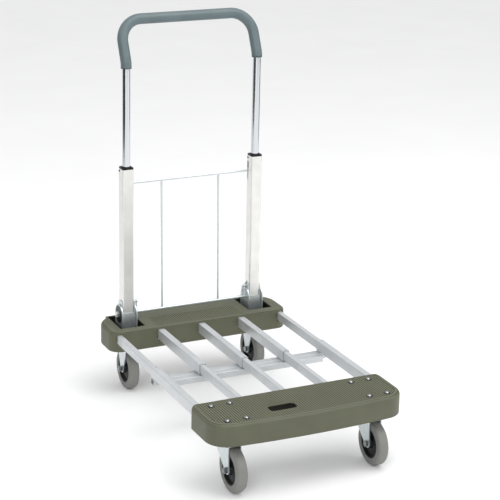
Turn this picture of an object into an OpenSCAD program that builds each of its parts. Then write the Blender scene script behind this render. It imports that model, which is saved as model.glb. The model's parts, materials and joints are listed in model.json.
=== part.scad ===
// Platform trolley with an extending deck, a folding telescopic handle and four castors.
// Origin: middle of the footprint, on the floor. +X right, +Y towards the handle, +Z up.
// The front frame slides towards the handle; the handle folds forward over the deck.

/* [Platform] */
// Width of both decks
deck_w = 464; // [460:1:470]
// Length over both decks when pulled out
platform_l = 722; // [716:1:726]
// Depth of a deck moulding from its skirt to its top
deck_h = 49.5; // [49:0.5:52]
// Depth of the front deck from front to back
front_deck_l = 139; // [136:1:142]
// Depth of the rear deck from front to back
rear_deck_l = 130; // [129:1:132]
// Distance between neighbouring rails
rail_pitch = 106; // [105:0.5:107]
// Distance between the ribs of the tread
rib_pitch = 5.75; // [5:0.25:7]

/* [Castors] */
// Diameter of the wheels
wheel_d = 100; // [98:1:101]
// Width of a tyre
wheel_w = 24; // [22:1:24]
// Height of a castor from the floor to the top of its plate
castor_h = 119; // [119:0.5:121]
// Distance from a swivel axis to its wheel's axle
trail = 30; // [26:1:32]

/* [Handle] */
// Distance between the two uprights, centre to centre
upright_gap = 336; // [334:1:338]
// Side of an upright's square section
upright_w = 28; // [28:0.5:29]
// Height of the uprights' top ends
upright_top = 550; // [540:1:560]
// Height of the handle bar's centre line when pulled out
handle_top = 896; // [880:1:910]
// Diameter of the handle tube
tube_d = 19; // [19:0.5:19.5]
// Outer diameter of the grip
grip_d = 25.4; // [25:0.1:27]

/* [Release] */
// Height of the cross wire that is pulled up to free the handle
wire_z = 511; // [505:1:514]
// Diameter of the cross wire
wire_d = 4.8; // [4:0.2:5]

/* [Hidden] */
$fn = 48;
eps = 0.02;
play = 0.3;          // clearance between sliding pieces
fit = 0.05;          // radial clearance of a pin in its bore

deck_bottom = castor_h;
deck_top = deck_bottom + deck_h;
deck_wall = 3;
deck_plate = 5;
deck_edge_r = 9;
tread_depth = 1;
rib_h = 0.8;
front_y = -platform_l / 2;
rear_y = platform_l / 2;
front_deck_y = front_y + front_deck_l;   // back edge of the front deck
rear_deck_y = rear_y - rear_deck_l;      // front wall of the rear deck

big_rail = [17, 26];
small_rail = [13, 22];
rail_top = deck_top - deck_plate;
rail_z = rail_top - big_rail[1] / 2;
rail_wall = 1.6;
crossbar_d = 19;
crossbar_h = 14.5;
bar_wall = 1.6;                          // wall of a crossbar
bar_seat = 0.4;                          // height of the front crossbar's two seats
crossbar_z = rail_top - big_rail[1];     // top of the rear crossbar
front_bar_y = 11.65;
rear_bar_y = -7.5;
travel = 204;                            // how far the front frame slides in
rear_big = [2, 3, 4];                    // the rear deck's large rails; the rest slide inside
front_big = [1, 5];
rear_screw_y = [300, 338, 338, 338, 300];
front_screw_y = [-312, -300, -300, -300, -312];
hand_slot = [-53, -307];                 // middle of the hand slot in the front deck
slot_size = [64, 26];

axle_z = wheel_d / 2;
axle_d = 8;
rim_r = 34;                              // outer radius of a hub, where the tyre sits
fork_half = 16;
fork_t = 2.5;
plate_t = 3.5;
bolt_x = 22;                             // castor bolts, either side of the castor
bolt_y = 41.5;
front_castor = [170, -287];
rear_castor = [168, 302];
rear_axle_y = 293;
crown_z = axle_z + wheel_d / 2 + 3.2;    // underside of a swivel fork's crown
crown_t = 3;

upright_x = upright_gap / 2;
handle_y = 303;
hinge_z = 188;
rod_d = 8;
upright_bottom = 150;
upright_wall = 2;
ear_r = 24.5;
ear_in = upright_w / 2 + 3;              // inner face of a bracket's ear
ear_t = 2.5;
pocket_floor = 129;
pocket = [-30, 33];                      // pocket sides, from the upright's centre line
pocket_y = [255, 349];
shoe_t = 2.4;
latch_lift = 9;
latch_pin_d = 6;
latch_pin_z = hinge_z + ear_r + latch_pin_d / 2 + 0.45;
latch_x = 10.8;                          // latch bar, from the upright's centre line
latch_t = 1.8;
latch_slot = [latch_pin_z - latch_pin_d / 2 - 0.4,
              latch_pin_z + latch_lift + latch_pin_d / 2 + 0.4];
lug_z = 544;                             // snap lugs that hold the collar in an upright
rivet_z = [160, 206];
wire_y = 311;
wire_x = 74.5;
tube_bottom = 452;
bend_z = 794;
bend_a = 24.3;
bend_r = 39;
corner_r = 53;
grip_end_z = 790;
bend_end = [bend_r * (1 - cos(bend_a)), bend_r * sin(bend_a)];
corner_up = (handle_top - bend_z - bend_end[1]) / cos(bend_a) - corner_r;

olive = "#6a6b54";
slate = "#6f7c7b";
zinc = "#c3cbcd";
alu = "#c6c9cc";
chrome = "#d5d8da";
black = "#1a1b1c";
tyre_grey = "#8b8c87";

// ---------- shared shapes ----------

function arc_points(cx, cy, r, from, to, steps, last = 1) = [
    for (i = [0:steps - 1 + last])
        let (a = from + (to - from) * i / steps) [cx + r * cos(a), cy + r * sin(a)]
];

// Outline of a deck: straight edge at y = edge_in, crowned edge near y = depth.
function deck_outline(depth, r_flat, r_crown, crown, inset, edge_in) =
    let (
        half = deck_w / 2,
        big_r = half * half / (2 * crown) + crown / 2,
        big_y = depth - big_r,
        cx = half - r_crown,
        cy = big_y + sqrt(pow(big_r - r_crown, 2) - cx * cx),
        lean = atan2(cy - big_y, cx),
        fx = half - r_flat,
        fr = r_flat - inset,
        fy = edge_in + fr
    )
    concat(
        arc_points(cx, cy, r_crown - inset, 0, lean, 10, 0),
        arc_points(0, big_y, big_r - inset, lean, 180 - lean, 16, 0),
        arc_points(-cx, cy, r_crown - inset, 180 - lean, 180, 10),
        arc_points(-fx, fy, fr, 180, 270, 6),
        arc_points(fx, fy, fr, 270, 360, 6)
    );

// Solid deck body: straight sides below, a rounded top edge above them.
module deck_body(depth, r_flat, r_crown, crown) {
    translate([0, 0, deck_bottom])
        linear_extrude(deck_h - deck_edge_r)
            polygon(deck_outline(depth, r_flat, r_crown, crown, 0, 0));
    hull()
        for (a = [0:15:90])
            translate([0, 0, deck_top - deck_edge_r * (1 - sin(a)) - eps])
                linear_extrude(eps)
                    polygon(deck_outline(depth, r_flat, r_crown, crown,
                                         deck_edge_r * (1 - cos(a)), 1.5 * (1 - cos(a))));
}

module deck_cavity(depth, r_flat, r_crown, crown) {
    translate([0, 0, deck_bottom - 1])
        linear_extrude(deck_h - deck_plate + 1)
            polygon(deck_outline(depth, r_flat, r_crown, crown, deck_wall, deck_wall));
}

// Comb of ribs along Y, to be cut to the outline of a tread.
module rib_comb(length) {
    count = floor(deck_w / rib_pitch / 2);
    for (i = [-count:count])
        translate([i * rib_pitch - rib_pitch * 0.3, 0])
            square([rib_pitch * 0.6, length]);
}

module round_rect(w, h, r) {
    square([w - 2 * r, h], center = true);
    square([w, h - 2 * r], center = true);
    for (x = [-1, 1], y = [-1, 1])
        translate([x * (w / 2 - r), y * (h / 2 - r)])
            circle(r);
}

// Mirrors its child to the left side when side is -1.
module on_side(side) {
    mirror([side < 0 ? 1 : 0, 0, 0])
        children();
}

module box(x, y, z) {
    translate([x[0], y[0], z[0]])
        cube([x[1] - x[0], y[1] - y[0], z[1] - z[0]]);
}

module bar_x(x0, x1, y, z, d) {
    translate([x0, y, z])
        rotate([0, 90, 0])
            cylinder(h = x1 - x0, d = d);
}

module bar_z(x, y, z0, z1, d) {
    translate([x, y, z0])
        cylinder(h = z1 - z0, d = d);
}

module hex_x(x0, x1, y, z, across) {
    translate([x0, y, z])
        rotate([0, 90, 0])
            cylinder(h = x1 - x0, d = across / cos(30), $fn = 6);
}

module hex_z(x, y, z0, z1, across) {
    translate([x, y, z0])
        cylinder(h = z1 - z0, d = across / cos(30), $fn = 6);
}

// Low round head: a disc with a chamfered rim.
module pan_head(d, h) {
    cylinder(h = h * 0.5, d = d);
    translate([0, 0, h * 0.5])
        cylinder(h = h * 0.5, d1 = d, d2 = d * 0.6);
}

// ---------- rails and crossbars ----------

function rail_x(i) = (i - 3) * rail_pitch;

module rail(i, size, y0, y1, screw_y) {
    translate([rail_x(i), 0, rail_z])
        difference() {
            translate([0, y1, 0])
                rotate([90, 0, 0])
                    linear_extrude(y1 - y0)
                        difference() {
                            round_rect(size[0], size[1], 2.5);
                            round_rect(size[0] - 2 * rail_wall, size[1] - 2 * rail_wall, 1);
                        }
            for (y = screw_y)
                bar_z(0, y, -20, 20, 4.1);
        }
}

module crossbar(half, y, top) {
    difference() {
        translate([-half, y, top - crossbar_h / 2])
            rotate([90, 0, 90])
                linear_extrude(2 * half)
                    difference() {
                        round_rect(crossbar_d - play, crossbar_h, 1);
                        round_rect(crossbar_d - play - 2 * bar_wall, crossbar_h - 2 * bar_wall, 0.6);
                        for (dy = [-4, 4])
                            translate([dy, crossbar_h / 2])
                                square([3, 1.4], center = true);
                    }
        children();
    }
}

// Rivet from a crossbar into the floor of the rail above it; grip is the crossbar's thickness there.
module bar_rivet(x, y, top, grip) {
    bar_z(x, y, top - grip, top + 1.55, 4);
    bar_z(x, y, top - grip - 1.6, top - grip, 7);
}

// Screw up through a rail into the deck above.
module deck_screw(x, y, rail_h) {
    bottom = rail_z - rail_h / 2;
    bar_z(x, y, bottom, deck_top - 2, 4);
    translate([x, y, bottom])
        mirror([0, 0, 1])
            pan_head(8, 2.6);
}

// ---------- decks ----------

// Windows in a deck's straight wall for the five rails, in the deck's own frame.
// Each one is wide at its mouth and close round the rail behind it.
module rail_windows(big_rails) {
    mouth = 1.5;
    reach = 9;
    for (i = [1:5]) {
        size = is_big(i, big_rails) ? big_rail : small_rail;
        for (step = [[mouth, -1, mouth], [0.2, mouth - eps, reach]])
            box([rail_x(i) - size[0] / 2 - step[0], rail_x(i) + size[0] / 2 + step[0]],
                [step[1], step[2]],
                [rail_z - size[1] / 2 - step[0], rail_z + size[1] / 2]);
    }
}

function is_big(i, big_rails) = len([for (b = big_rails) if (b == i) b]) > 0;

// Pads that fill the gap above the small rails and hold the deck screws.
module small_rail_pads(big_rails, y0, y1) {
    gap = (big_rail[1] - small_rail[1]) / 2;
    for (i = [1:5])
        if (!is_big(i, big_rails))
            box([rail_x(i) - 8, rail_x(i) + 8], [y0, y1], [rail_top - gap, rail_top + 1]);
}

// Ribs under the deck plate, one on each side of every rail.
module rail_guides(big_rails, y0, y1) {
    for (i = [1:5], s = [-1, 1]) {
        w = (is_big(i, big_rails) ? big_rail[0] : small_rail[0]) / 2 + 0.2;
        x = rail_x(i) + s * (w + 1);
        box([x - 1, x + 1], [y0, y1], [rail_z - 4, rail_top + 1]);
    }
}

module deck_screw_holes(y_of) {
    for (i = [1:5])
        bar_z(rail_x(i), y_of[i - 1], rail_z, deck_top - 1.9, 4.1);
}

module rear_deck() {
    tread = [240, 300];
    tread_half = 112;
    color(olive)
        difference() {
            union() {
                difference() {
                    translate([0, rear_deck_y, 0])
                        deck_body(rear_deck_l, 27, 60, 8);
                    translate([0, rear_deck_y, 0])
                        deck_cavity(rear_deck_l, 27, 60, 8);
                    box([-tread_half, tread_half], tread,
                        [deck_top - tread_depth, deck_top + 1]);
                }
                translate([0, tread[0], deck_top - tread_depth - 0.5])
                    linear_extrude(rib_h + 0.5)
                        intersection() {
                            rib_comb(tread[1] - tread[0]);
                            translate([-tread_half, 0])
                                square([2 * tread_half, tread[1] - tread[0]]);
                        }
                small_rail_pads(rear_big, 236, 318);
                rail_guides(rear_big, 233, 318);
                for (s = [-1, 1])
                    on_side(s) {
                        box([upright_x + pocket[0] - 2.5, upright_x + pocket[1] + 2.2],
                            [pocket_y[0] - 2.5, pocket_y[1] + 2.5],
                            [pocket_floor - 4, deck_top - 1.5]);
                        for (x = [-bolt_x, bolt_x], y = [-bolt_y, bolt_y])
                            bar_z(rear_castor[0] + x, rear_castor[1] + y,
                                  deck_bottom, pocket_floor - 1, 13);
                    }
            }
            for (s = [-1, 1])
                on_side(s) {
                    box([upright_x + pocket[0], upright_x + pocket[1]], pocket_y,
                        [pocket_floor, deck_top + 1]);
                    for (x = [-bolt_x, bolt_x], y = [-bolt_y, bolt_y])
                        bar_z(rear_castor[0] + x, rear_castor[1] + y,
                              deck_bottom - 1, pocket_floor + 1, 6.3);
                }
            translate([0, rear_deck_y, 0])
                rail_windows(rear_big);
            deck_screw_holes(rear_screw_y);
        }
}

module front_place() {
    translate([0, front_deck_y, 0])
        mirror([0, 1, 0])
            children();
}

module front_deck() {
    color(olive)
        difference() {
            union() {
                difference() {
                    front_place()
                        deck_body(front_deck_l, 15, 50, 12.6);
                    front_place()
                        deck_cavity(front_deck_l, 15, 50, 12.6);
                    front_place()
                        translate([0, 0, deck_top - tread_depth])
                            linear_extrude(2)
                                polygon(deck_outline(front_deck_l, 15, 50, 12.6, 12, 3));
                }
                front_place()
                    translate([0, 0, deck_top - tread_depth - 0.5])
                        linear_extrude(rib_h + 0.5)
                            intersection() {
                                rib_comb(front_deck_l);
                                polygon(deck_outline(front_deck_l, 15, 50, 12.6, 13, 3));
                            }
                small_rail_pads(front_big, -340, -226);
                rail_guides(front_big, -318, -224);
                for (s = [-1, 1], x = [-bolt_x, bolt_x], y = [-bolt_y, bolt_y])
                    bar_z(s * (front_castor[0] + x), front_castor[1] + y,
                          deck_bottom, rail_top + 1, 13);
                translate([hand_slot[0], hand_slot[1], deck_bottom + 14])
                    linear_extrude(deck_h - 15)
                        round_rect(slot_size[0] + 6, slot_size[1] + 6, 12);
            }
            translate([hand_slot[0], hand_slot[1], deck_bottom])
                linear_extrude(deck_h + 1)
                    round_rect(slot_size[0], slot_size[1], 9);
            for (s = [-1, 1], x = [-bolt_x, bolt_x], y = [-bolt_y, bolt_y])
                bar_z(s * (front_castor[0] + x), front_castor[1] + y,
                      deck_bottom - 1, deck_top + 1, 6.3);
            front_place()
                rail_windows(front_big);
            deck_screw_holes(front_screw_y);
        }
}

// ---------- rails ----------

module rear_rail(i) {
    big = is_big(i, rear_big);
    color(alu)
        rail(i, big ? big_rail : small_rail, big ? -10.7 : -100, big ? 347 : 325,
             big ? [rear_screw_y[i - 1], rear_bar_y] : [rear_screw_y[i - 1]]);
}

module front_rail(i) {
    big = is_big(i, front_big);
    color(alu)
        rail(i, big ? big_rail : small_rail, big ? -325 : -345, big ? 21 : 125,
             big ? [front_screw_y[i - 1], front_bar_y] : [front_screw_y[i - 1]]);
}

module rear_rail_1() { rear_rail(1); }
module rear_rail_2() { rear_rail(2); }
module rear_rail_3() { rear_rail(3); }
module rear_rail_4() { rear_rail(4); }
module rear_rail_5() { rear_rail(5); }
module front_rail_1() { front_rail(1); }
module front_rail_2() { front_rail(2); }
module front_rail_3() { front_rail(3); }
module front_rail_4() { front_rail(4); }
module front_rail_5() { front_rail(5); }

module rear_crossbar() {
    color(alu)
        crossbar(202, rear_bar_y, crossbar_z)
            for (i = rear_big)
                bar_z(rail_x(i), rear_bar_y, crossbar_z - 5, crossbar_z + 1, 4.1);
}

// Its top stays clear of the rear rails that slide over it; two seats meet the outer rails.
module front_crossbar() {
    color(alu)
        difference() {
            union() {
                crossbar(220.4, front_bar_y, crossbar_z - bar_seat);
                for (i = front_big)
                    box([rail_x(i) - 8, rail_x(i) + 8], [front_bar_y - 9, front_bar_y + 9],
                        [crossbar_z - bar_wall, crossbar_z]);
            }
            for (i = front_big)
                bar_z(rail_x(i), front_bar_y, crossbar_z - 5, crossbar_z + 1, 4.1);
        }
}

module rear_frame_screws() {
    color(zinc) {
        for (i = rear_big)
            bar_rivet(rail_x(i), rear_bar_y, crossbar_z, bar_wall);
        for (i = [1:5])
            deck_screw(rail_x(i), rear_screw_y[i - 1],
                       is_big(i, rear_big) ? big_rail[1] : small_rail[1]);
    }
}

module front_frame_screws() {
    color(zinc) {
        for (i = front_big)
            bar_rivet(rail_x(i), front_bar_y, crossbar_z, bar_wall + bar_seat);
        for (i = [1:5])
            deck_screw(rail_x(i), front_screw_y[i - 1],
                       is_big(i, front_big) ? big_rail[1] : small_rail[1]);
    }
}

// ---------- castors ----------

// One fork leg as an outline in (y, z) about the axle; lean is how far the top runs back.
module fork_leg(lean, top) {
    tip = 9.5;
    circle(r = tip);
    if (lean > 0)
        polygon([[-5, top], [-tip, 0], [0, -tip], [tip * 0.7, -tip * 0.7],
                 [lean + 27, 37], [lean + 22, top]]);
    else
        polygon([[-22, top], [-21, 36], [-tip, 2], [-tip * 0.7, -tip * 0.7],
                 [tip * 0.7, -tip * 0.7], [tip, 2], [21, 36], [22, top]]);
}

module fork_legs(lean, top) {
    for (x = [-fork_half, fork_half - fork_t])
        translate([x, 0, 0])
            rotate([90, 0, 90])
                linear_extrude(fork_t)
                    difference() {
                        fork_leg(lean, top);
                        circle(d = axle_d + 2 * fit);
                    }
}

module rear_fork(side) {
    plate_z = deck_bottom - plate_t;
    color(zinc)
        on_side(side)
            difference() {
                union() {
                    translate([rear_castor[0], rear_axle_y, axle_z])
                        fork_legs(0, plate_z - axle_z + 0.5);
                    castor_plate(rear_castor, plate_z);
                }
                castor_bolt_holes(rear_castor, plate_z - 1, deck_bottom + 1);
            }
}

module castor_plate(centre, z) {
    translate([centre[0], centre[1], z])
        linear_extrude(plate_t)
            round_rect(2 * bolt_x + 18, 2 * bolt_y + 18, 7);
}

module castor_bolt_holes(centre, z0, z1) {
    for (x = [-bolt_x, bolt_x], y = [-bolt_y, bolt_y])
        bar_z(centre[0] + x, centre[1] + y, z0, z1, 6.3);
}

// Swivel castor plate with the upper ball race pressed down from it.
module front_castor_plate(side) {
    plate_z = deck_bottom - plate_t;
    color(zinc)
        on_side(side)
            difference() {
                union() {
                    castor_plate(front_castor, plate_z);
                    bar_z(front_castor[0], front_castor[1], plate_z - 4, plate_z, 38);
                }
                castor_bolt_holes(front_castor, plate_z - 1, deck_bottom + 1);
                bar_z(front_castor[0], front_castor[1], plate_z - 5, deck_bottom + 1, 12);
            }
}

// Pin that the fork turns on, with a head below the crown.
module kingpin() {
    bar_z(0, 0, crown_z - 0.25, deck_bottom, 12);
    bar_z(0, 0, crown_z - 3.2, crown_z - 0.25, 17);
}

module front_fork(side) {
    x = front_castor[0];
    y = front_castor[1];
    color(zinc)
        on_side(side)
            difference() {
                union() {
                    translate([x, y - trail, axle_z])
                        fork_legs(trail, crown_z + crown_t - axle_z);
                    box([x - fork_half, x + fork_half], [y - trail - 5, y + 22],
                        [crown_z, crown_z + crown_t]);
                }
                bar_z(x, y, crown_z - 1, crown_z + crown_t + 1, 12 + 2 * fit);
            }
}

// Dust ring round the ball race; it turns with the fork.
module front_dust_ring(side) {
    color(black)
        on_side(side)
            translate([front_castor[0], front_castor[1], crown_z + crown_t])
                difference() {
                    union() {
                        cylinder(h = 8.8, r = 22.5);
                        cylinder(h = 1.2, r = 25);
                    }
                    translate([0, 0, -1])
                        cylinder(h = 12, r = 20);
                }
}

module front_bearing_balls() {
    balls = 16;
    ball_d = 4.6;
    z0 = crown_z + crown_t;
    z1 = deck_bottom - plate_t - 4;
    color(chrome)
        for (side = [-1, 1], i = [0:balls - 1])
            on_side(side)
                translate([front_castor[0], front_castor[1], (z0 + z1) / 2])
                    rotate([0, 0, i * 360 / balls])
                        translate([14, 0, 0])
                            sphere(d = ball_d, $fn = 24);
}

module front_kingpins() {
    color(zinc)
        for (side = [-1, 1])
            on_side(side)
                translate([front_castor[0], front_castor[1], 0])
                    kingpin();
}

// Hexagon bolt through the legs and the hub, with its nut on the outer side.
module axle_bolt(x, y) {
    reach = fork_half;
    translate([x, y, axle_z]) {
        bar_x(-reach, reach + 8.5, 0, 0, axle_d);
        hex_x(-reach - 5.3, -reach, 0, 0, 13);
        hex_x(reach, reach + 6.5, 0, 0, 13);
    }
}

module front_axle(side) {
    color(zinc)
        on_side(side)
            axle_bolt(front_castor[0], front_castor[1] - trail);
}

module rear_axle_bolts() {
    color(zinc)
        for (side = [-1, 1])
            on_side(side)
                axle_bolt(rear_castor[0], rear_axle_y);
}

// Bolt from above, with a washer-faced nut under the castor plate.
module castor_bolt(x, y, head_z) {
    nut_z = deck_bottom - plate_t;
    bar_z(x, y, nut_z - 7, head_z, 6);
    translate([x, y, head_z])
        pan_head(10.5, 3.4);
    hex_z(x, y, nut_z - 5, nut_z, 10);
}

module castor_bolts(centre, head_z) {
    color(zinc)
        for (s = [-1, 1], x = [-bolt_x, bolt_x], y = [-bolt_y, bolt_y])
            castor_bolt(s * (centre[0] + x), centre[1] + y, head_z);
}

module front_castor_bolts() {
    castor_bolts(front_castor, deck_top - tread_depth + rib_h);
}

module rear_castor_bolts() {
    castor_bolts(rear_castor, pocket_floor + 2.5);
}

// Tyre with rounded shoulders, in (radius, width).
module tyre_at(x, y) {
    r = wheel_d / 2;
    shoulder = 6;
    color(tyre_grey)
        translate([x, y, axle_z])
            rotate([0, 90, 0])
                rotate_extrude($fn = 96)
                    union() {
                        translate([rim_r, -wheel_w / 2])
                            square([r - shoulder - rim_r, wheel_w]);
                        translate([r - shoulder - 1, -wheel_w / 2 + shoulder])
                            square([shoulder + 1, wheel_w - 2 * shoulder]);
                        for (w = [-1, 1])
                            translate([r - shoulder, w * (wheel_w / 2 - shoulder)])
                                circle(r = shoulder);
                    }
}

// Hub with a boss, a thin web and a rim, in (radius, width).
module hub_at(x, y) {
    bore = axle_d / 2 + fit;
    half = fork_half - fork_t - play;
    color(black)
        translate([x, y, axle_z])
            rotate([0, 90, 0])
                rotate_extrude($fn = 96)
                    polygon([[bore, -half], [10, -half], [12, -8], [29, -6], [31, -10.5],
                             [rim_r, -10.5], [rim_r, 10.5], [31, 10.5], [29, 6], [12, 8],
                             [10, half], [bore, half]]);
}

module rear_tyre_left() { tyre_at(-rear_castor[0], rear_axle_y); }
module rear_tyre_right() { tyre_at(rear_castor[0], rear_axle_y); }
module front_tyre_left() { tyre_at(-front_castor[0], front_castor[1] - trail); }
module front_tyre_right() { tyre_at(front_castor[0], front_castor[1] - trail); }
module rear_hub_left() { hub_at(-rear_castor[0], rear_axle_y); }
module rear_hub_right() { hub_at(rear_castor[0], rear_axle_y); }
module front_hub_left() { hub_at(-front_castor[0], front_castor[1] - trail); }
module front_hub_right() { hub_at(front_castor[0], front_castor[1] - trail); }

// ---------- hinge ----------

module hinge_bracket(side) {
    color(zinc)
        on_side(side)
            difference() {
                union() {
                    box([upright_x - 28, upright_x + 30], [258, 346],
                        [pocket_floor, pocket_floor + 2.5]);
                    for (x = [-ear_in - ear_t, ear_in])
                        translate([upright_x + x, handle_y, hinge_z]) {
                            rotate([0, 90, 0])
                                cylinder(h = ear_t, r = ear_r, $fn = 72);
                            box([0, ear_t], [-ear_r, ear_r],
                                [pocket_floor + 1 - hinge_z, 0]);
                        }
                }
                bar_x(upright_x - 40, upright_x + 40, handle_y, hinge_z, rod_d + 2 * fit);
                castor_bolt_holes(rear_castor, pocket_floor - 1, pocket_floor + 4);
            }
}

module hinge_rod() {
    reach = upright_x + ear_in + ear_t + 8.5;
    color(zinc)
        bar_x(-reach, reach, handle_y, hinge_z, rod_d);
}

module hinge_rod_nuts() {
    x0 = upright_x + ear_in + ear_t;
    color(zinc)
        for (side = [-1, 1])
            on_side(side)
                difference() {
                    hex_x(x0, x0 + 6.5, handle_y, hinge_z, 13);
                    bar_x(x0 - 1, x0 + 8, handle_y, hinge_z, rod_d);
                }
}

// ---------- uprights ----------

module upright(side) {
    inner = upright_w - 2 * upright_wall;
    face = upright_x - upright_w / 2;
    color(alu)
        on_side(side)
            difference() {
                translate([upright_x, handle_y, upright_bottom])
                    linear_extrude(upright_top - upright_bottom)
                        difference() {
                            round_rect(upright_w, upright_w, 3);
                            round_rect(inner, inner, 1);
                        }
                bar_x(face - 5, face + upright_w + 5, handle_y, hinge_z, rod_d + 2 * fit);
                slot_x(face, wire_y, [489, 536], 8);
                slot_x(face, handle_y, latch_slot, latch_pin_d + 0.8);
                bar_x(face - 5, face + upright_w + 5, 311.5, lug_z, 5.4);
                for (z = rivet_z)
                    bar_x(face - 5, face + upright_w + 5, handle_y + 8, z, 4.1);
            }
}

// Upright slot with round ends through a wall at x.
module slot_x(x, y, z, w) {
    for (e = [z[0] + w / 2, z[1] - w / 2])
        bar_x(x - 4, x + 3, y, e, w);
    box([x - 4, x + 3], [y - w / 2, y + w / 2], [z[0] + w / 2, z[1] - w / 2]);
}

// Pressed shoe round the foot of an upright: a front web and two cheeks.
module shoe(side) {
    half = upright_w / 2 + shoe_t;
    front = handle_y - upright_w / 2;
    color(zinc)
        on_side(side)
            difference() {
                union() {
                    box([upright_x - half, upright_x + half], [front - shoe_t, front],
                        [upright_bottom, 193]);
                    for (x = [-half, half - shoe_t])
                        translate([upright_x + x, 0, 0])
                            rotate([90, 0, 90])
                                linear_extrude(shoe_t)
                                    polygon([[front - shoe_t, upright_bottom],
                                             [handle_y + 12, upright_bottom],
                                             [handle_y + 12, 216], [handle_y + 6, 222],
                                             [front + 3, 222], [front - shoe_t, 193]]);
                }
                bar_x(upright_x - 30, upright_x + 30, handle_y, hinge_z, rod_d + 2 * fit);
                slot_x(upright_x - upright_w / 2, handle_y, latch_slot, latch_pin_d + 0.8);
                for (z = rivet_z)
                    bar_x(upright_x - 30, upright_x + 30, handle_y + 8, z, 4.1);
            }
}

// Short rivets through each cheek of the shoe and the upright's wall.
module shoe_rivets() {
    inner = upright_w / 2 - upright_wall;
    color(zinc)
        for (side = [-1, 1], x = [-1, 1], z = rivet_z)
            on_side(side)
                translate([upright_x, handle_y + 8, z])
                    rotate([0, 90 * x, 0])
                        bar_z(0, 0, inner, upright_w / 2 + shoe_t + 0.25, 4);
}

// Black collar in the top of an upright; the handle tube slides through it.
module upright_bushing(side) {
    inner = upright_w - 2 * upright_wall;
    color(black)
        on_side(side)
            translate([upright_x, handle_y, 0])
                difference() {
                    union() {
                        translate([0, 0, upright_top])
                            linear_extrude(3.5)
                                round_rect(upright_w, upright_w, 4);
                        translate([0, 0, upright_top + 3.5])
                            cylinder(h = 2.5, d1 = upright_w - 2, d2 = tube_d + 3);
                        translate([0, 0, upright_top - 12.5])
                            linear_extrude(12.6)
                                round_rect(inner, inner, 1);
                        bar_x(-upright_w / 2 - 0.8, upright_w / 2 + 0.8, 8.5, lug_z, 5.2);
                    }
                    bar_z(0, 0, upright_top - 20, upright_top + 10, tube_d + 2 * fit);
                }
}

// ---------- release ----------

module latch_bar(side) {
    x = upright_x - latch_x;
    pin_end = upright_x - ear_in - ear_t - 8.5;
    color(zinc)
        on_side(side) {
            difference() {
                box([x - latch_t / 2, x + latch_t / 2], [handle_y - 4, wire_y + 3.6],
                    [latch_pin_z - 5, wire_z + 6]);
                bar_x(x - 3, x + 3, wire_y, wire_z, wire_d);
            }
            bar_x(pin_end, x, handle_y, latch_pin_z, latch_pin_d);
        }
}

// Cross wire with two vertical wires that stand on the hinge rod.
module wire_frame() {
    reach = upright_x - latch_x + 1.4;
    lean = atan2(wire_y - handle_y, wire_z - hinge_z);
    color(zinc) {
        bar_x(-reach, reach, wire_y, wire_z, wire_d);
        for (x = [-wire_x, wire_x])
            translate([x, handle_y, hinge_z])
                rotate([-lean, 0, 0])
                    bar_z(0, 0, rod_d / 2 + play, (wire_z - hinge_z) / cos(lean), wire_d);
    }
}

// Tube swept along a list of points, closed at both ends.
function unit(v) = v / norm(v);
function ring(p, dir, r, sides) =
    let (
        side = unit(cross(dir, abs(dir[2]) < 0.9 ? [0, 0, 1] : [1, 0, 0])),
        up = cross(side, dir)
    )
    [for (k = [0:sides - 1]) p + r * (side * cos(k * 360 / sides) + up * sin(k * 360 / sides))];

module swept_tube(path, r, sides) {
    n = len(path);
    points = [
        for (i = [0:n - 1])
            each ring(path[i], unit(path[min(i + 1, n - 1)] - path[max(i - 1, 0)]), r, sides)
    ];
    walls = [
        for (i = [0:n - 2], k = [0:sides - 1])
            let (a = i * sides, b = a + sides, l = (k + 1) % sides)
                [a + k, a + l, b + l, b + k]
    ];
    ends = [[for (k = [sides - 1:-1:0]) k], [for (k = [0:sides - 1]) (n - 1) * sides + k]];
    polyhedron(points, concat(walls, ends), convexity = 10);
}

// Tension spring from the hinge rod up to the latch pin, with an eye at each end.
module release_spring(side) {
    x = upright_x - ear_in - ear_t - 5;
    wire = 1.2;
    coil_r = 3.2;
    coils = 9;
    steps = 12;
    low_eye = rod_d / 2 + 0.3 + wire / 2;
    top_eye = latch_pin_d / 2 + 0.1 + wire / 2;
    z0 = hinge_z + low_eye;
    z1 = latch_pin_z - top_eye;
    count = coils * steps;
    path = [
        for (i = [0:count])
            let (r = coil_r * min(1, i / 5, (count - i) / 5), a = i * 360 / steps)
                [x + r * cos(a), handle_y + r * sin(a), z0 + (z1 - z0) * i / count]
    ];
    color(zinc)
        on_side(side) {
            swept_tube(path, wire / 2, 6);
            eye(x, hinge_z, low_eye, wire);
            eye(x, latch_pin_z, top_eye, wire);
        }
}

module eye(x, z, r, wire) {
    translate([x, handle_y, z])
        rotate([0, 90, 0])
            rotate_extrude()
                translate([r, 0])
                    circle(d = wire, $fn = 16);
}

// ---------- telescopic handle ----------

// The bent handle as a tube: two mirrored sides and the straight bar between them.
module handle_pipe(d, bore, low_z) {
    for (side = [-1, 1])
        on_side(side)
            difference() {
                handle_side(d, low_z);
                handle_side(bore, low_z - 5);
            }
    translate([upright_x, handle_y, 0])
        leaning_part()
            translate([-corner_r, 0, corner_up + corner_r])
                rotate([0, -90, 0])
                    difference() {
                        cylinder(h = 2 * (upright_x - corner_r), d = d);
                        translate([0, 0, -1])
                            cylinder(h = 2 * (upright_x - corner_r) + 2, d = bore);
                    }
}

// Right side as a solid bar: up the leg, back through the bend and round the corner.
module handle_side(d, low_z) {
    translate([upright_x, handle_y, 0]) {
        bar_z(0, 0, low_z, bend_z, d);
        translate([0, 0, bend_z])
            bar_arc(bend_r, bend_a, 90, d);
        leaning_part() {
            cylinder(h = corner_up, d = d);
            translate([0, 0, corner_up])
                bar_arc(corner_r, 90, 180, d);
        }
    }
}

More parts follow.
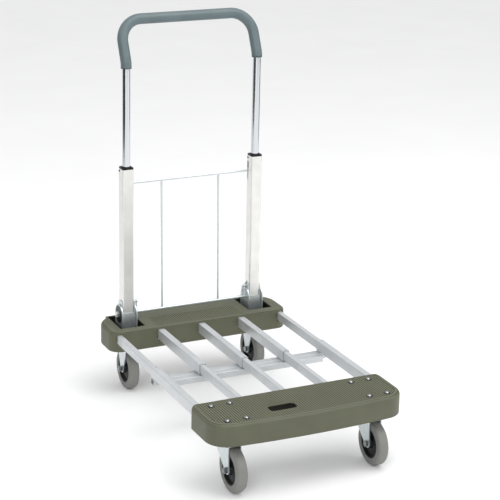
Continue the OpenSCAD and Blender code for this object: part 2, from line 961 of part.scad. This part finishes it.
// Places what lies beyond the bend of a leg.
module leaning_part() {
    translate([0, bend_end[0], bend_z + bend_end[1]])
        rotate([-bend_a, 0, 0])
            children();
}

// Arc that leaves along +Z and bends towards the direction turn, in the XY plane.
// It is a little thinner, as bending leaves it, and runs half a degree on into the next bar.
module bar_arc(r, angle, turn, d) {
    thinner = 0.4;
    overlap = 0.5;
    rotate([0, 0, turn])
        translate([r, 0, 0])
            rotate([90, 0, 0])
                rotate([0, 0, 180])
                    rotate_extrude(angle = -angle - overlap)
                        translate([r, 0])
                            circle(d = d - thinner);
}

module handle_tube() {
    color(chrome)
        handle_pipe(tube_d, tube_d - 3, tube_bottom);
}

module handle_grip() {
    color(slate)
        handle_pipe(grip_d, tube_d, grip_end_z);
}

// Plastic guides on the tube's lower ends, flat beside the latch bars.
module handle_glides() {
    r = upright_w / 2 - upright_wall - play;
    color(black)
        for (side = [-1, 1])
            on_side(side)
                translate([upright_x, handle_y, tube_bottom - 5])
                    intersection() {
                        union() {
                            cylinder(h = 5, r = r);
                            cylinder(h = 18, d = tube_d - 3);
                        }
                        box([-tube_d / 2, r], [-r, r], [-1, 30]);
                    }
}

// ---------- left and right ----------

module hinge_bracket_left() { hinge_bracket(-1); }
module hinge_bracket_right() { hinge_bracket(1); }
module rear_fork_left() { rear_fork(-1); }
module rear_fork_right() { rear_fork(1); }
module front_castor_plate_left() { front_castor_plate(-1); }
module front_castor_plate_right() { front_castor_plate(1); }
module front_fork_left() { front_fork(-1); }
module front_fork_right() { front_fork(1); }
module front_dust_ring_left() { front_dust_ring(-1); }
module front_dust_ring_right() { front_dust_ring(1); }
module front_axle_left() { front_axle(-1); }
module front_axle_right() { front_axle(1); }
module upright_left() { upright(-1); }
module upright_right() { upright(1); }
module shoe_left() { shoe(-1); }
module shoe_right() { shoe(1); }
module upright_bushing_left() { upright_bushing(-1); }
module upright_bushing_right() { upright_bushing(1); }
module latch_bar_left() { latch_bar(-1); }
module latch_bar_right() { latch_bar(1); }
module release_spring_left() { release_spring(-1); }
module release_spring_right() { release_spring(1); }

rear_deck();
rear_rail_1();
rear_rail_2();
rear_rail_3();
rear_rail_4();
rear_rail_5();
rear_crossbar();
rear_frame_screws();
hinge_bracket_left();
hinge_bracket_right();
hinge_rod();
hinge_rod_nuts();
rear_fork_left();
rear_fork_right();
rear_axle_bolts();
rear_castor_bolts();
rear_hub_left();
rear_hub_right();
rear_tyre_left();
rear_tyre_right();
front_deck();
front_rail_1();
front_rail_2();
front_rail_3();
front_rail_4();
front_rail_5();
front_crossbar();
front_frame_screws();
front_castor_plate_left();
front_castor_plate_right();
front_castor_bolts();
front_kingpins();
front_bearing_balls();
front_fork_left();
front_fork_right();
front_dust_ring_left();
front_dust_ring_right();
front_axle_left();
front_axle_right();
front_hub_left();
front_hub_right();
front_tyre_left();
front_tyre_right();
upright_left();
upright_right();
shoe_left();
shoe_right();
upright_bushing_left();
upright_bushing_right();
shoe_rivets();
wire_frame();
latch_bar_left();
latch_bar_right();
release_spring_left();
release_spring_right();
handle_tube();
handle_grip();
handle_glides();
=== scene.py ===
"""Looks for the platform trolley: materials, studio, camera, and the pieces shown in finer detail."""
import json
import math

import bpy
from mathutils import Matrix, Vector


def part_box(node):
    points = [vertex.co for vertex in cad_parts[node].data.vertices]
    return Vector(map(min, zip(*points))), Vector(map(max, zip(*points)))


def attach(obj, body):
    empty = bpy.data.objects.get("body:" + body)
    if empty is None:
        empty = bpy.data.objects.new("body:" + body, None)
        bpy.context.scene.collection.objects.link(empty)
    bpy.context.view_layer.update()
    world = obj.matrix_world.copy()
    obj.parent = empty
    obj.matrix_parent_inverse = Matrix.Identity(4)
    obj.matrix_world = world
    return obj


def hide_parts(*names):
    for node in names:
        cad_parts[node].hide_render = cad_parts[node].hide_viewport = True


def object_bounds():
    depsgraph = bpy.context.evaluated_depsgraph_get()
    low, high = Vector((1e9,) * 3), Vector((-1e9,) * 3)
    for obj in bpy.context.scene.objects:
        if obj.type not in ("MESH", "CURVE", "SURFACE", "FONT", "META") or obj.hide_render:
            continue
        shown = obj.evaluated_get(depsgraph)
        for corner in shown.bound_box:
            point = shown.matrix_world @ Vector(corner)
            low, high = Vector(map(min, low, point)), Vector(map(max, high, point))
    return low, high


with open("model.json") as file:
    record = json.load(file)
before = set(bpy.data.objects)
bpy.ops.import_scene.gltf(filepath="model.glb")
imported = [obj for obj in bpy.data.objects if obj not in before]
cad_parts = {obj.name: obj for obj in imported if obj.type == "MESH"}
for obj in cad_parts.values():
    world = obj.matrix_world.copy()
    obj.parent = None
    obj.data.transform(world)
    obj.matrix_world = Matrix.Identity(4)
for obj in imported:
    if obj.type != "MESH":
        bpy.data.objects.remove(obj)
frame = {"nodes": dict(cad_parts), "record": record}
cad_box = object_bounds()

MM = 0.001
nodes = frame["nodes"]
record = frame["record"]


# ---------- values ----------

# Base colours.
OLIVE = (0.092, 0.096, 0.058)
SLATE = (0.105, 0.142, 0.150)
ALUMINIUM = (0.60, 0.62, 0.635)
SATIN = (0.82, 0.815, 0.79)
ZINC = (0.66, 0.71, 0.72)
BOLT = (0.34, 0.36, 0.37)
CHROME = (0.62, 0.64, 0.66)
BLACK = (0.010, 0.010, 0.011)
TYRE = (0.2, 0.2, 0.187)

# Decks, in millimetres: floor and top of the ribbed tread (painted shade on the floor, painted highlight
# on the tops), and the rings of painted shade round the castor bolts.
TREAD = (167.5, 168.3)
BOLT_X = (148.0, 192.0)
BOLT_Y = (-328.5, -245.5)
BOLT_SHADE_R = 8.2
BOLT_SHADE_Z = 166.0

# Hollows with painted shade, in millimetres: whether X counts from the middle plane, X, Y, Z and the
# strength of the painted shade.
HOLLOWS = [
    (True, (137.0, 201.8), (254.5, 349.5), (128.5, 165.0), 0.07),
    (False, (-87.0, -19.0), (-321.5, -292.5), (112.0, 167.3), 0.12),
]

# Hinge brackets, in millimetres: centre of the ears in Y and Z, the radius and plane of the dark disc on
# each ear's outer face, and the top of the painted shade on the foot.
EAR_CENTRE = (303.0, 188.0)
EAR_DARK_R = 21.5
EAR_FACE = 187.3
FOOT_TOP = 158.0

# Handle, in metres.
TUBE_R = 9.5 * MM
GRIP_R = 12.7 * MM
GRIP_LIP = 2.6 * MM
GRIP_RISE = 9 * MM
BEND_R = 39 * MM
BEND_Z = 794 * MM
BEND_ANGLE = math.radians(24.3)
CORNER_R = 53 * MM


# ---------- node helpers ----------

def new_material(name):
    """Returns an empty material, its node tree and its Principled shader."""
    material = bpy.data.materials.new(name)
    material.use_nodes = True
    tree = material.node_tree
    return material, tree, tree.nodes["Principled BSDF"]


def add(tree, kind, **values):
    """Adds a node and sets its properties."""
    node = tree.nodes.new(kind)
    for key, value in values.items():
        setattr(node, key, value)
    return node


def scaled_coordinates(tree, scale):
    """Object coordinates, in metres, stretched by scale along each axis."""
    place = add(tree, "ShaderNodeTexCoord")
    mapping = add(tree, "ShaderNodeMapping")
    mapping.inputs["Scale"].default_value = scale
    tree.links.new(place.outputs["Object"], mapping.inputs["Vector"])
    return mapping.outputs["Vector"]


def noise(tree, vector, scale, detail=4.0, roughness=0.55):
    """Noise whose features are about 1/scale metres wide."""
    node = add(tree, "ShaderNodeTexNoise")
    node.inputs["Scale"].default_value = scale
    node.inputs["Detail"].default_value = detail
    node.inputs["Roughness"].default_value = roughness
    tree.links.new(vector, node.inputs["Vector"])
    return node.outputs["Fac"]


def ramp(tree, factor, low, high, start=0.3, end=0.7):
    """Colour that runs from low to high as factor runs from start to end."""
    node = add(tree, "ShaderNodeValToRGB")
    node.color_ramp.elements[0].position = start
    node.color_ramp.elements[1].position = end
    node.color_ramp.elements[0].color = (*low, 1)
    node.color_ramp.elements[1].color = (*high, 1)
    tree.links.new(factor, node.inputs["Fac"])
    return node.outputs["Color"]


def spread(tree, factor, low, high):
    """Number that runs from low to high as factor runs over its usual range."""
    node = add(tree, "ShaderNodeMapRange")
    node.inputs["From Min"].default_value = 0.3
    node.inputs["From Max"].default_value = 0.7
    node.inputs["To Min"].default_value = low
    node.inputs["To Max"].default_value = high
    tree.links.new(factor, node.inputs["Value"])
    return node.outputs["Result"]


def bump(tree, shader, height, depth):
    """Adds surface relief of the given depth in metres."""
    node = add(tree, "ShaderNodeBump")
    node.inputs["Distance"].default_value = depth
    tree.links.new(height, node.inputs["Height"])
    tree.links.new(node.outputs["Normal"], shader.inputs["Normal"])


def scaled(colour, factor):
    """Colour with each channel multiplied by factor, up to one."""
    return tuple(min(1.0, c * factor) for c in colour)


# ---------- materials ----------

def moulded_plastic(name, colour, roughness, grain):
    """Moulded plastic of the decks: fine eroded grain, faint cloudiness, a painted highlight on the rib
    tops, and painted shade between the ribs, in the hollows and round the bolts.
    """
    material, tree, shader = new_material(name)
    place = scaled_coordinates(tree, (1, 1, 1))
    cloud = noise(tree, place, 14.0, 3.0)
    fine = noise(tree, place, grain, 3.0)
    tint = ramp(tree, cloud, scaled(colour, 0.92), scaled(colour, 1.08))
    # Painted highlight on the rib tops; painted shade between the ribs, in the pockets, the hand slot and
    # round the bolts.
    tint = painted_hollow_shade(tree, tread_painted_light_and_shade(tree, tint))
    tree.links.new(tint, shader.inputs["Base Color"])
    tree.links.new(spread(tree, fine, roughness - 0.06, roughness + 0.06), shader.inputs["Roughness"])
    bump(tree, shader, fine, 0.06 * MM)
    return material


def tread_painted_light_and_shade(tree, tint):
    """Paints a highlight on the tops of the ribs and shade on the floor between them."""
    z = place_axes(tree)[2]
    rise = add(tree, "ShaderNodeMapRange")
    rise.inputs["From Min"].default_value = TREAD[0] * MM
    rise.inputs["From Max"].default_value = TREAD[1] * MM
    tree.links.new(z, rise.inputs["Value"])
    # Painted shade on the tread floor and painted highlight on the rib tops.
    contrast = ramp(tree, rise.outputs["Result"], (0.05, 0.05, 0.047), (1.4, 1.4, 1.38), 0.1, 0.95)
    in_band = within(tree, [
        (z, "GREATER_THAN", (TREAD[0] - 0.1) * MM),
        (z, "LESS_THAN", (TREAD[1] + 0.1) * MM),
    ])
    mix = add(tree, "ShaderNodeMix", data_type="RGBA", blend_type="MULTIPLY")
    tree.links.new(contrast, mix.inputs["B"])
    tree.links.new(in_band, mix.inputs["Factor"])
    tree.links.new(tint, mix.inputs["A"])
    return mix.outputs["Result"]


def gloss_black():
    """Hard black plastic of the hubs and collars, with a moulded sheen and fine scuffs."""
    material, tree, shader = new_material("black_plastic")
    place = scaled_coordinates(tree, (1, 1, 1))
    cloud = noise(tree, place, 60.0, 3.0)
    scuff = noise(tree, place, 1200.0, 4.0, 0.7)
    tree.links.new(ramp(tree, cloud, scaled(BLACK, 0.7), scaled(BLACK, 1.6)), shader.inputs["Base Color"])
    tree.links.new(spread(tree, scuff, 0.2, 0.36), shader.inputs["Roughness"])
    shader.inputs["Specular IOR Level"].default_value = 0.14
    bump(tree, shader, cloud, 0.05 * MM)
    return material


def within(tree, limits):
    """One where every (value, test, limit) holds, and nought elsewhere."""
    amount = None
    for value, test, limit in limits:
        step = add(tree, "ShaderNodeMath", operation=test)
        step.inputs[1].default_value = limit
        tree.links.new(value, step.inputs[0])
        if amount is None:
            amount = step.outputs["Value"]
        else:
            both = add(tree, "ShaderNodeMath", operation="MULTIPLY")
            tree.links.new(amount, both.inputs[0])
            tree.links.new(step.outputs["Value"], both.inputs[1])
            amount = both.outputs["Value"]
    return amount


def shade(tree, tint, amount, strength):
    """Multiplies tint by the grey strength where amount is one."""
    mix = add(tree, "ShaderNodeMix", data_type="RGBA", blend_type="MULTIPLY")
    mix.inputs["B"].default_value = (strength, strength, strength, 1)
    tree.links.new(amount, mix.inputs["Factor"])
    tree.links.new(tint, mix.inputs["A"])
    return mix.outputs["Result"]


def place_axes(tree):
    """Object coordinates as X, Y, Z and the distance from the middle plane."""
    place = add(tree, "ShaderNodeTexCoord")
    split = add(tree, "ShaderNodeSeparateXYZ")
    tree.links.new(place.outputs["Object"], split.inputs["Vector"])
    across = add(tree, "ShaderNodeMath", operation="ABSOLUTE")
    tree.links.new(split.outputs["X"], across.inputs[0])
    return split.outputs["X"], split.outputs["Y"], split.outputs["Z"], across.outputs["Value"]


def distance(tree, first, second, centre):
    """Distance in a plane from the point centre, for the two coordinates first and second."""
    point = add(tree, "ShaderNodeCombineXYZ")
    tree.links.new(first, point.inputs["X"])
    tree.links.new(second, point.inputs["Y"])
    gap = add(tree, "ShaderNodeVectorMath", operation="DISTANCE")
    gap.inputs[1].default_value = (*centre, 0)
    tree.links.new(point.outputs["Vector"], gap.inputs[0])
    return gap.outputs["Value"]


def painted_hollow_shade(tree, tint):
    """Paints shade into the pockets, the hand slot and a ring round each bolt, so that they read as deep
    shade.
    """
    x, y, z, across = place_axes(tree)
    # Painted shade in the pockets and the hand slot.
    for sideways, x_range, y_range, z_range, strength in HOLLOWS:
        value = across if sideways else x
        limits = [
            (value, "GREATER_THAN", x_range[0] * MM),
            (value, "LESS_THAN", x_range[1] * MM),
            (y, "GREATER_THAN", y_range[0] * MM),
            (y, "LESS_THAN", y_range[1] * MM),
            (z, "GREATER_THAN", z_range[0] * MM),
            (z, "LESS_THAN", z_range[1] * MM),
        ]
        tint = shade(tree, tint, within(tree, limits), strength)
    # Painted shade in a ring round each bolt.
    for bolt_x in BOLT_X:
        for bolt_y in BOLT_Y:
            gap = distance(tree, across, y, (bolt_x * MM, bolt_y * MM))
            limits = [(gap, "LESS_THAN", BOLT_SHADE_R * MM), (z, "GREATER_THAN", BOLT_SHADE_Z * MM)]
            tint = shade(tree, tint, within(tree, limits), 0.25)
    return tint


def drawn_metal(name, colour, roughness, along, metallic):
    """Extruded or drawn metal: fine lines run along one axis (0, 1 or 2)."""
    material, tree, shader = new_material(name)
    stretch = [1.0, 1.0, 1.0]
    stretch[along] = 0.012
    lines = noise(tree, scaled_coordinates(tree, stretch), 2600.0, 3.0, 0.6)
    cloud = noise(tree, scaled_coordinates(tree, (1, 1, 1)), 30.0, 3.0)
    tint = ramp(tree, cloud, scaled(colour, 0.95), scaled(colour, 1.04))
    tree.links.new(tint, shader.inputs["Base Color"])
    tree.links.new(spread(tree, lines, roughness - 0.07, roughness + 0.07), shader.inputs["Roughness"])
    shader.inputs["Metallic"].default_value = metallic
    bump(tree, shader, lines, 0.01 * MM)
    return material


def plated_metal(name, colour, roughness, metallic, darken=None):
    """Bright zinc plate over pressed steel: soft mottling and small scuffs.

    darken is a function that darkens parts of the tint.
    """
    material, tree, shader = new_material(name)
    place = scaled_coordinates(tree, (1, 1, 1))
    mottle = noise(tree, place, 160.0, 4.0)
    scuff = noise(tree, place, 900.0, 4.0, 0.7)
    tint = ramp(tree, mottle, scaled(colour, 0.9), scaled(colour, 1.06))
    if darken:
        tint = darken(tree, tint)
    tree.links.new(tint, shader.inputs["Base Color"])
    tree.links.new(spread(tree, scuff, roughness - 0.08, roughness + 0.1), shader.inputs["Roughness"])
    shader.inputs["Metallic"].default_value = metallic
    bump(tree, shader, mottle, 0.03 * MM)
    return material


def dark_ear_discs_and_foot_shade(tree, tint):
    """Darkens a disc on the outer face of each bracket ear inside a bright rim, and paints shade on the
    foot in its pocket.
    """
    y, z, across = place_axes(tree)[1:]
    gap = distance(tree, y, z, (EAR_CENTRE[0] * MM, EAR_CENTRE[1] * MM))
    # Dark disc on each ear's outer face; painted shade on the foot below FOOT_TOP.
    face = within(tree, [(gap, "LESS_THAN", EAR_DARK_R * MM), (across, "GREATER_THAN", EAR_FACE * MM)])
    foot = within(tree, [(z, "LESS_THAN", FOOT_TOP * MM)])
    return shade(tree, shade(tree, tint, face, 0.05), foot, 0.08)


def polished_metal(name, colour):
    """Chromed tube: nearly a mirror, with faint drawing lines."""
    material, tree, shader = new_material(name)
    lines = noise(tree, scaled_coordinates(tree, (1, 1, 0.02)), 1500.0, 2.0)
    tint = ramp(tree, lines, scaled(colour, 0.97), scaled(colour, 1.02))
    tree.links.new(tint, shader.inputs["Base Color"])
    tree.links.new(spread(tree, lines, 0.07, 0.13), shader.inputs["Roughness"])
    shader.inputs["Metallic"].default_value = 1.0
    return material


def soft_rubber(name, colour, roughness, pores, depth):
    """Rubber or foam skin with fine pores."""
    material, tree, shader = new_material(name)
    place = scaled_coordinates(tree, (1, 1, 1))
    cloud = noise(tree, place, 25.0, 3.0)
    fine = noise(tree, place, pores, 4.0, 0.65)
    tint = ramp(tree, cloud, scaled(colour, 0.93), scaled(colour, 1.07))
    tree.links.new(tint, shader.inputs["Base Color"])
    tree.links.new(spread(tree, fine, roughness - 0.06, roughness + 0.08), shader.inputs["Roughness"])
    bump(tree, shader, fine, depth)
    return material


finishes = {
    "deck_plastic": moulded_plastic("deck_plastic", OLIVE, 0.5, 1600.0),
    "black_plastic": gloss_black(),
    "zinc_steel": plated_metal("zinc_steel", ZINC, 0.33, 0.8),
    # Brackets: dark disc on each ear's face and painted shade on the foot in its pocket.
    "bracket_zinc": plated_metal("bracket_zinc", ZINC, 0.33, 0.8, dark_ear_discs_and_foot_shade),
    "bolt_steel": plated_metal("bolt_steel", BOLT, 0.25, 1.0),
    "bearing_steel": plated_metal("bearing_steel", ZINC, 0.2, 1.0),
    "chrome": polished_metal("chrome", CHROME),
    "grip": soft_rubber("grip", SLATE, 0.4, 1800.0, 0.03 * MM),
    "tyre": soft_rubber("tyre", TYRE, 0.62, 1400.0, 0.05 * MM),
}
drawn_along = {
    axis: drawn_metal(f"aluminium_{axis}", colour, 0.38, index, metallic)
    for index, (axis, colour, metallic) in enumerate(
        (("x", ALUMINIUM, 0.6), ("y", ALUMINIUM, 0.6), ("z", SATIN, 1.0)))
}


def finish_for(node, slot):
    """Material of a node; aluminium is drawn along the extrusion's own length."""
    if "bolts" in node or "screws" in node or "axle" in node:
        return finishes["bolt_steel"]
    if "hinge_bracket" in node:
        return finishes["bracket_zinc"]
    if slot != "aluminium":
        return finishes[slot]
    if "crossbar" in node:
        return drawn_along["x"]
    if "rail" in node:
        return drawn_along["y"]
    return drawn_along["z"]


slot_of = {s["node"]: s["material_slot"] for s in record["subparts"]}
for node_name, node_object in nodes.items():
    node_object.data.materials.clear()
    node_object.data.materials.append(finish_for(node_name, slot_of[node_name]))


# ---------- swept pieces ----------

def swept_mesh(name, path, radii, sides=48):
    """Closed tube along path; radii holds the radius at each of its points."""
    tangents = [
        (path[min(i + 1, len(path) - 1)] - path[max(i - 1, 0)]).normalized()
        for i in range(len(path))
    ]
    side = tangents[0].orthogonal().normalized()
    vertices = []
    for centre, tangent, radius in zip(path, tangents, radii):
        side = (side - tangent * side.dot(tangent)).normalized()
        other = tangent.cross(side)
        for k in range(sides):
            turn = 2 * math.pi * k / sides
            vertices.append(centre + radius * (math.cos(turn) * side + math.sin(turn) * other))
    faces = []
    for i in range(len(path) - 1):
        for k in range(sides):
            after = (k + 1) % sides
            faces.append((i * sides + k, i * sides + after, (i + 1) * sides + after, (i + 1) * sides + k))
    faces.append(tuple(range(sides - 1, -1, -1)))
    faces.append(tuple((len(path) - 1) * sides + k for k in range(sides)))
    return mesh_piece(name, vertices, faces)


def mesh_piece(name, vertices, faces):
    """New smooth-shaded object whose edges sharper than 40 degrees stay crisp."""
    mesh = bpy.data.meshes.new(name)
    mesh.from_pydata([tuple(v) for v in vertices], [], faces)
    mesh.validate()
    mesh.shade_smooth()
    mesh.set_sharp_from_angle(angle=math.radians(40))
    piece = bpy.data.objects.new(name, mesh)
    bpy.context.collection.objects.link(piece)
    return piece


def finished(piece, body, slot, *replaced):
    """Gives a piece its material and its body, and hides the CAD nodes it stands for."""
    piece.data.materials.append(finish_for(piece.name, slot))
    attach(piece, body)
    if replaced:
        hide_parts(*replaced)


# ---------- handle ----------

def side_path(low_z):
    """Right half of the handle's centre line: up, back through the bend, round the corner."""
    low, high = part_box("handle_tube")
    leg_x = high.x - TUBE_R
    leg_y = low.y + TUBE_R
    bar_z = high.z - TUBE_R
    lean = Vector((0, math.sin(BEND_ANGLE), math.cos(BEND_ANGLE)))
    inward = Vector((-1, 0, 0))
    path = [Vector((leg_x, leg_y, low_z + (BEND_Z - low_z) * i / 12)) for i in range(12)]
    for i in range(13):
        turn = BEND_ANGLE * i / 12
        back = BEND_R * (1 - math.cos(turn))
        path.append(Vector((leg_x, leg_y + back, BEND_Z + BEND_R * math.sin(turn))))
    bend_end = path[-1]
    corner_start = bend_end + lean * ((bar_z - bend_end.z) / lean.z - CORNER_R)
    for i in range(25):
        turn = math.radians(90) * i / 24
        path.append(corner_start + CORNER_R * ((1 - math.cos(turn)) * inward + math.sin(turn) * lean))
    return path


def handle_path(left_z, right_z):
    """Centre line of the whole handle, from its right end at right_z to its left end at left_z."""
    left = [Vector((-p.x, p.y, p.z)) for p in reversed(side_path(left_z))]
    return side_path(right_z) + left


def make_handle_tube():
    """Chromed tube along the whole handle."""
    low_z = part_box("handle_tube")[0].z
    path = handle_path(low_z, low_z)
    tube = swept_mesh("handle_tube_smooth", path, [TUBE_R] * len(path))
    finished(tube, "telescope", "chrome", "handle_tube")


def make_grip():
    """Sleeve with a rounded lip at both ends; it is cut a little shorter on the right."""
    steps = 7
    low_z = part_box("handle_grip")[0].z
    path = handle_path(low_z, low_z + GRIP_RISE)
    radii = [GRIP_R] * len(path)
    for end in (0, -1):
        inner = 1 if end == 0 else -2
        along = (path[inner] - path[end]).normalized()
        extra = []
        for i in range(steps):
            turn = math.radians(90) * i / (steps - 1)
            extra.append((path[end] + along * GRIP_LIP * (1 - math.cos(turn)),
                          GRIP_R - GRIP_LIP * (1 - math.sin(turn))))
        if end == 0:
            path = [p for p, r in extra] + path[1:]
            radii = [r for p, r in extra] + radii[1:]
        else:
            path = path[:-1] + [p for p, r in reversed(extra)]
            radii = radii[:-1] + [r for p, r in reversed(extra)]
    grip = swept_mesh("handle_grip_sleeve", path, radii, 64)
    finished(grip, "telescope", "grip", "handle_grip")


# ---------- studio ----------

def make_floor():
    """Wide pale floor at the wheels' lowest point."""
    bpy.ops.mesh.primitive_plane_add(size=60, location=(0, 0, cad_box[0].z))
    floor = bpy.context.object
    floor.name = "floor"
    material, tree, shader = new_material("floor_paper")
    faint = noise(tree, scaled_coordinates(tree, (1, 1, 1)), 3.0, 2.0)
    tree.links.new(ramp(tree, faint, (0.90, 0.90, 0.90), (0.92, 0.92, 0.92)),
                   shader.inputs["Base Color"])
    shader.inputs["Roughness"].default_value = 0.9
    floor.data.materials.append(material)


def aim(thing, target):
    """Turns a light or a card to face target."""
    direction = Vector(target) - thing.location
    thing.rotation_euler = direction.to_track_quat("-Z", "Y").to_euler()


def area_light(name, place, target, size, watts):
    """Rectangular soft box that faces target."""
    data = bpy.data.lights.new(name, "AREA")
    data.shape = "RECTANGLE"
    data.size = size[0]
    data.size_y = size[1]
    data.energy = watts
    light = bpy.data.objects.new(name, data)
    bpy.context.collection.objects.link(light)
    light.location = place
    aim(light, target)


def make_world():
    """Bright room: white above and mid grey at eye level, which gives the metal a contrast."""
    world = bpy.data.worlds.new("studio")
    world.use_nodes = True
    tree = world.node_tree
    place = add(tree, "ShaderNodeTexCoord")
    split = add(tree, "ShaderNodeSeparateXYZ")
    tree.links.new(place.outputs["Generated"], split.inputs["Vector"])
    rise = add(tree, "ShaderNodeMapRange")
    rise.inputs["From Min"].default_value = -0.1
    rise.inputs["From Max"].default_value = 0.9
    tree.links.new(split.outputs["Z"], rise.inputs["Value"])
    sky = ramp(tree, rise.outputs["Result"], (0.36, 0.37, 0.39), (1.0, 1.0, 1.0), 0.0, 0.75)
    tree.links.new(sky, tree.nodes["Background"].inputs["Color"])
    tree.nodes["Background"].inputs["Strength"].default_value = 0.95
    bpy.context.scene.world = world


def dark_card(name, place, target, size):
    """Dark panel beside the set, seen only in the metal's reflections."""
    half_w = size[0] / 2
    half_h = size[1] / 2
    corners = [(-half_w, -half_h, 0), (half_w, -half_h, 0), (half_w, half_h, 0), (-half_w, half_h, 0)]
    card = mesh_piece(name, corners, [(0, 1, 2, 3)])
    material, tree, shader = new_material(name)
    faint = noise(tree, scaled_coordinates(tree, (1, 1, 1)), 8.0)
    tree.links.new(ramp(tree, faint, (0.010, 0.011, 0.011), (0.014, 0.015, 0.015)),
                   shader.inputs["Base Color"])
    card.data.materials.append(material)
    card.location = place
    aim(card, target)
    card.visible_camera = False
    card.visible_diffuse = False
    card.visible_shadow = False


def make_lights():
    """Large soft boxes: one overhead, a key at the front left and a fill at the right."""
    middle = (0, 0, 0.35)
    area_light("top", (0.7, -0.7, 3.2), middle, (2.4, 2.4), 48)
    area_light("key", (-2.4, -3.4, 2.6), middle, (1.4, 2.2), 44)
    area_light("fill", (3.2, -1.6, 1.6), middle, (1.0, 2.2), 16)


def make_camera():
    """Camera at the front left, a little above the deck, looking down at the trolley."""
    turn = math.radians(26.01)
    dip = math.radians(16.47)
    tilt = math.radians(1.22)
    forward = Vector((math.sin(turn) * math.cos(dip), math.cos(turn) * math.cos(dip), -math.sin(dip)))
    level = Vector((math.cos(turn), -math.sin(turn), 0))
    upward = level.cross(forward)
    right = level * math.cos(tilt) + upward * math.sin(tilt)
    data = bpy.data.cameras.new("camera")
    data.sensor_width = 36
    data.lens = 119.1
    data.shift_y = -0.1
    data.clip_end = 100
    camera = bpy.data.objects.new("camera", data)
    bpy.context.collection.objects.link(camera)
    back = -forward
    turned = Matrix((right, back.cross(right), back)).transposed()
    camera.matrix_world = Matrix.Translation((-1.551, -3.199, 1.589)) @ turned.to_4x4()
    bpy.context.scene.camera = camera
    bpy.context.scene.view_settings.view_transform = "Standard"


make_handle_tube()
make_grip()
make_floor()
make_world()
make_lights()
dark_card("card_left", (-2.3, 0.1, 1.0), (0, 0.1, 1.0), (3.6, 2.0))
dark_card("card_right", (2.4, 0.9, 1.0), (0, 0.9, 1.0), (1.6, 2.0))
make_camera()
